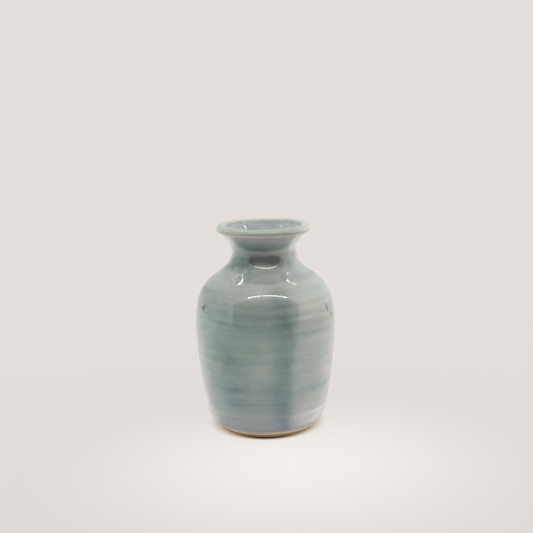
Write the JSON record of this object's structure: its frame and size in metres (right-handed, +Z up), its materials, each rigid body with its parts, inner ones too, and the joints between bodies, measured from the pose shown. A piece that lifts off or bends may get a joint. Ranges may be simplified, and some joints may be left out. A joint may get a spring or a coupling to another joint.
{
  "type": "bud vase",
  "caption": "Small wheel-thrown stoneware bud vase with a swelling belly, narrow neck, flared rolled lip and blue-green glaze over a bare clay foot.",
  "frame": {"origin": "middle of the foot on the standing surface, at the bottom centre of the bounding box", "axes": "+Z up along the turning axis, from the foot to the lip; X and Y are interchangeable, because the solids are turned about Z"},
  "size_m": [0.0688, 0.0688, 0.1],
  "materials": {
    "bare_clay": "unglazed fired stoneware, warm peach, fine grog, matte",
    "outer_glaze": "glossy transparent blue-green celadon glaze, paler where thin on ridges and edges, teal to slate blue where it pools",
    "liner_glaze": "glossy pale blue-grey liner glaze"
  },
  "bodies": {
    "root": {"clay_body": "bare_clay", "outer_glaze_coat": "outer_glaze", "liner_glaze_coat": "liner_glaze"}
  },
  "joints": []
}
